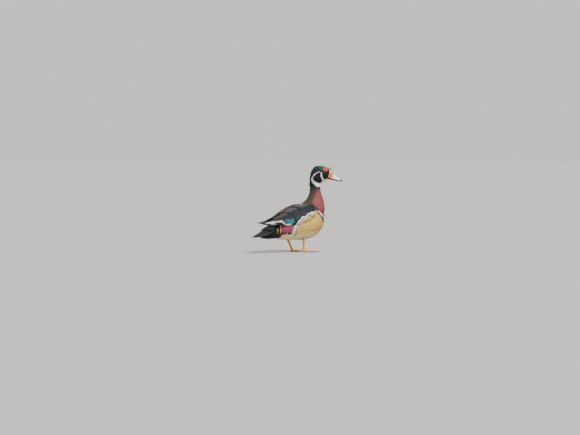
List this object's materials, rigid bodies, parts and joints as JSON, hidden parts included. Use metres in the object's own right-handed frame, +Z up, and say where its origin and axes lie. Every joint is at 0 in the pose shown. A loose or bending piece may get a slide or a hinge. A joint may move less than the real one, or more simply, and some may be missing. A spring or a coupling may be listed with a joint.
{
  "type": "wood duck",
  "caption": "Life-size standing wood duck drake with a folded crest, its head turned to its right, on webbed feet.",
  "frame": {"origin": "centre of the part's bounding box, on the plane that the soles rest on", "axes": "+X the way the body faces, +Y the bird's left, +Z up; the head is turned 40 degrees to the bird's right"},
  "size_m": [0.3108, 0.1168, 0.2469],
  "materials": {
    "torso": "matte feathers",
    "neck": "matte feathers",
    "head": "glossy feathers",
    "eye_right": "wet gloss",
    "eye_left": "wet gloss",
    "bill_upper": "satin horn",
    "bill_lower": "satin horn",
    "wing_right": "glossy feathers",
    "wing_left": "glossy feathers",
    "tail": "glossy feathers",
    "leg_right": "satin skin",
    "leg_left": "satin skin",
    "foot_right": "satin skin",
    "foot_left": "satin skin"
  },
  "bodies": {
    "root": {"torso": "torso", "neck": "neck", "head": "head", "eye_right": "eye_right", "eye_left": "eye_left", "bill_upper": "bill_upper", "bill_lower": "bill_lower", "wing_right": "wing_right", "wing_left": "wing_left", "tail": "tail", "leg_right": "leg_right", "leg_left": "leg_left", "foot_right": "foot_right", "foot_left": "foot_left"}
  },
  "joints": []
}
